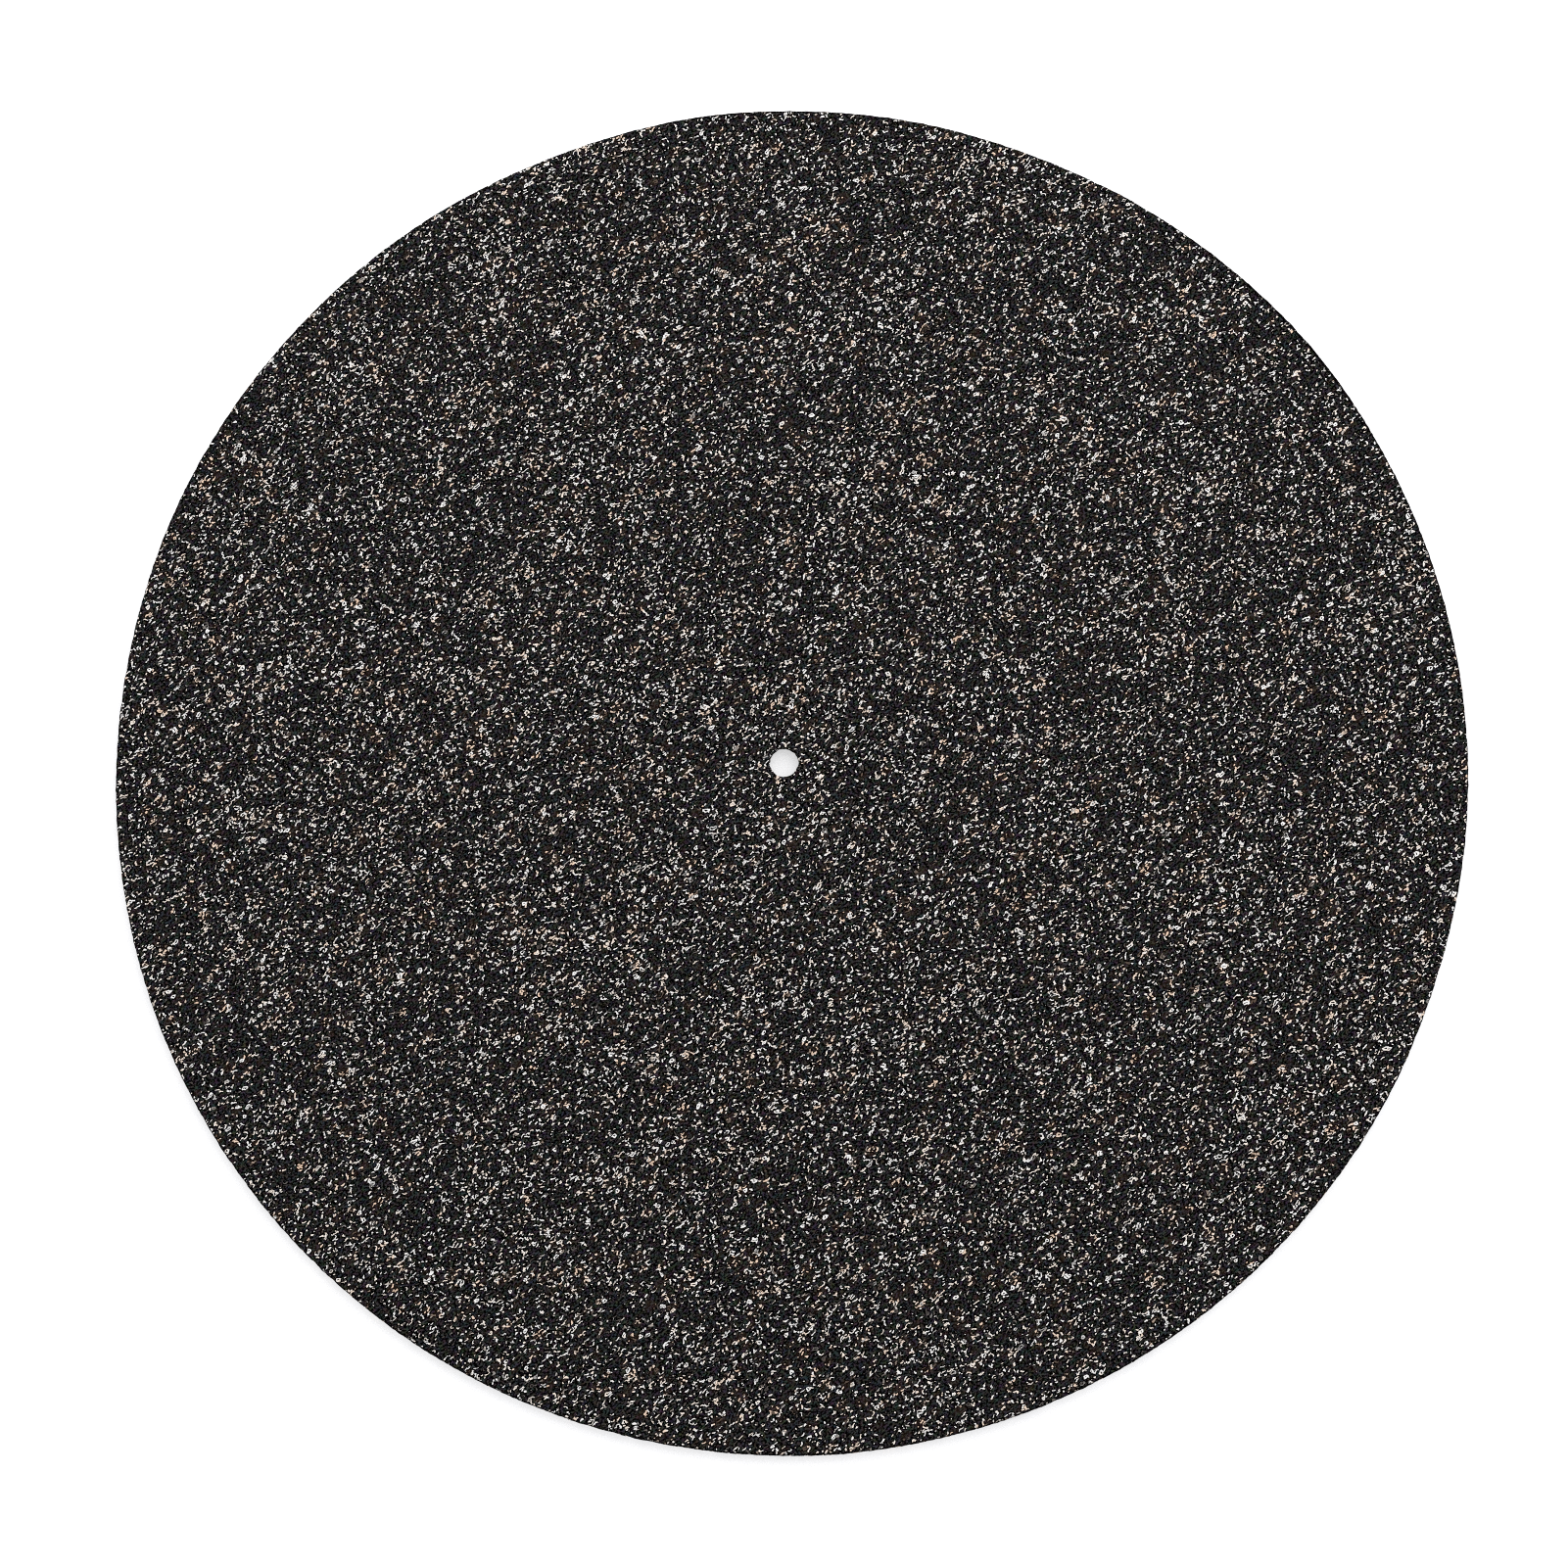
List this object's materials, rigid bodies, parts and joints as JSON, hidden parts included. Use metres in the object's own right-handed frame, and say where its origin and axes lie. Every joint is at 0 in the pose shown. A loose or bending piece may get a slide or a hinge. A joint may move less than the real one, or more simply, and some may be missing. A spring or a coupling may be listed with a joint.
{
  "type": "cork and rubber turntable mat",
  "caption": "Flat round slip mat for a record player: a thin black rubber-bonded cork disc, flecked cream and tan, with a spindle hole at its centre.",
  "frame": {"origin": "centre of the spindle hole on the underside, the face that lies on the platter", "axes": "+Z along the spindle hole's axis, up through the face that carries the record; the disc is round, so +X and +Y are free"},
  "size_m": [0.3, 0.3, 0.003],
  "materials": {
    "cork_rubber": "matte"
  },
  "bodies": {
    "root": {"mat": "cork_rubber"}
  },
  "joints": []
}
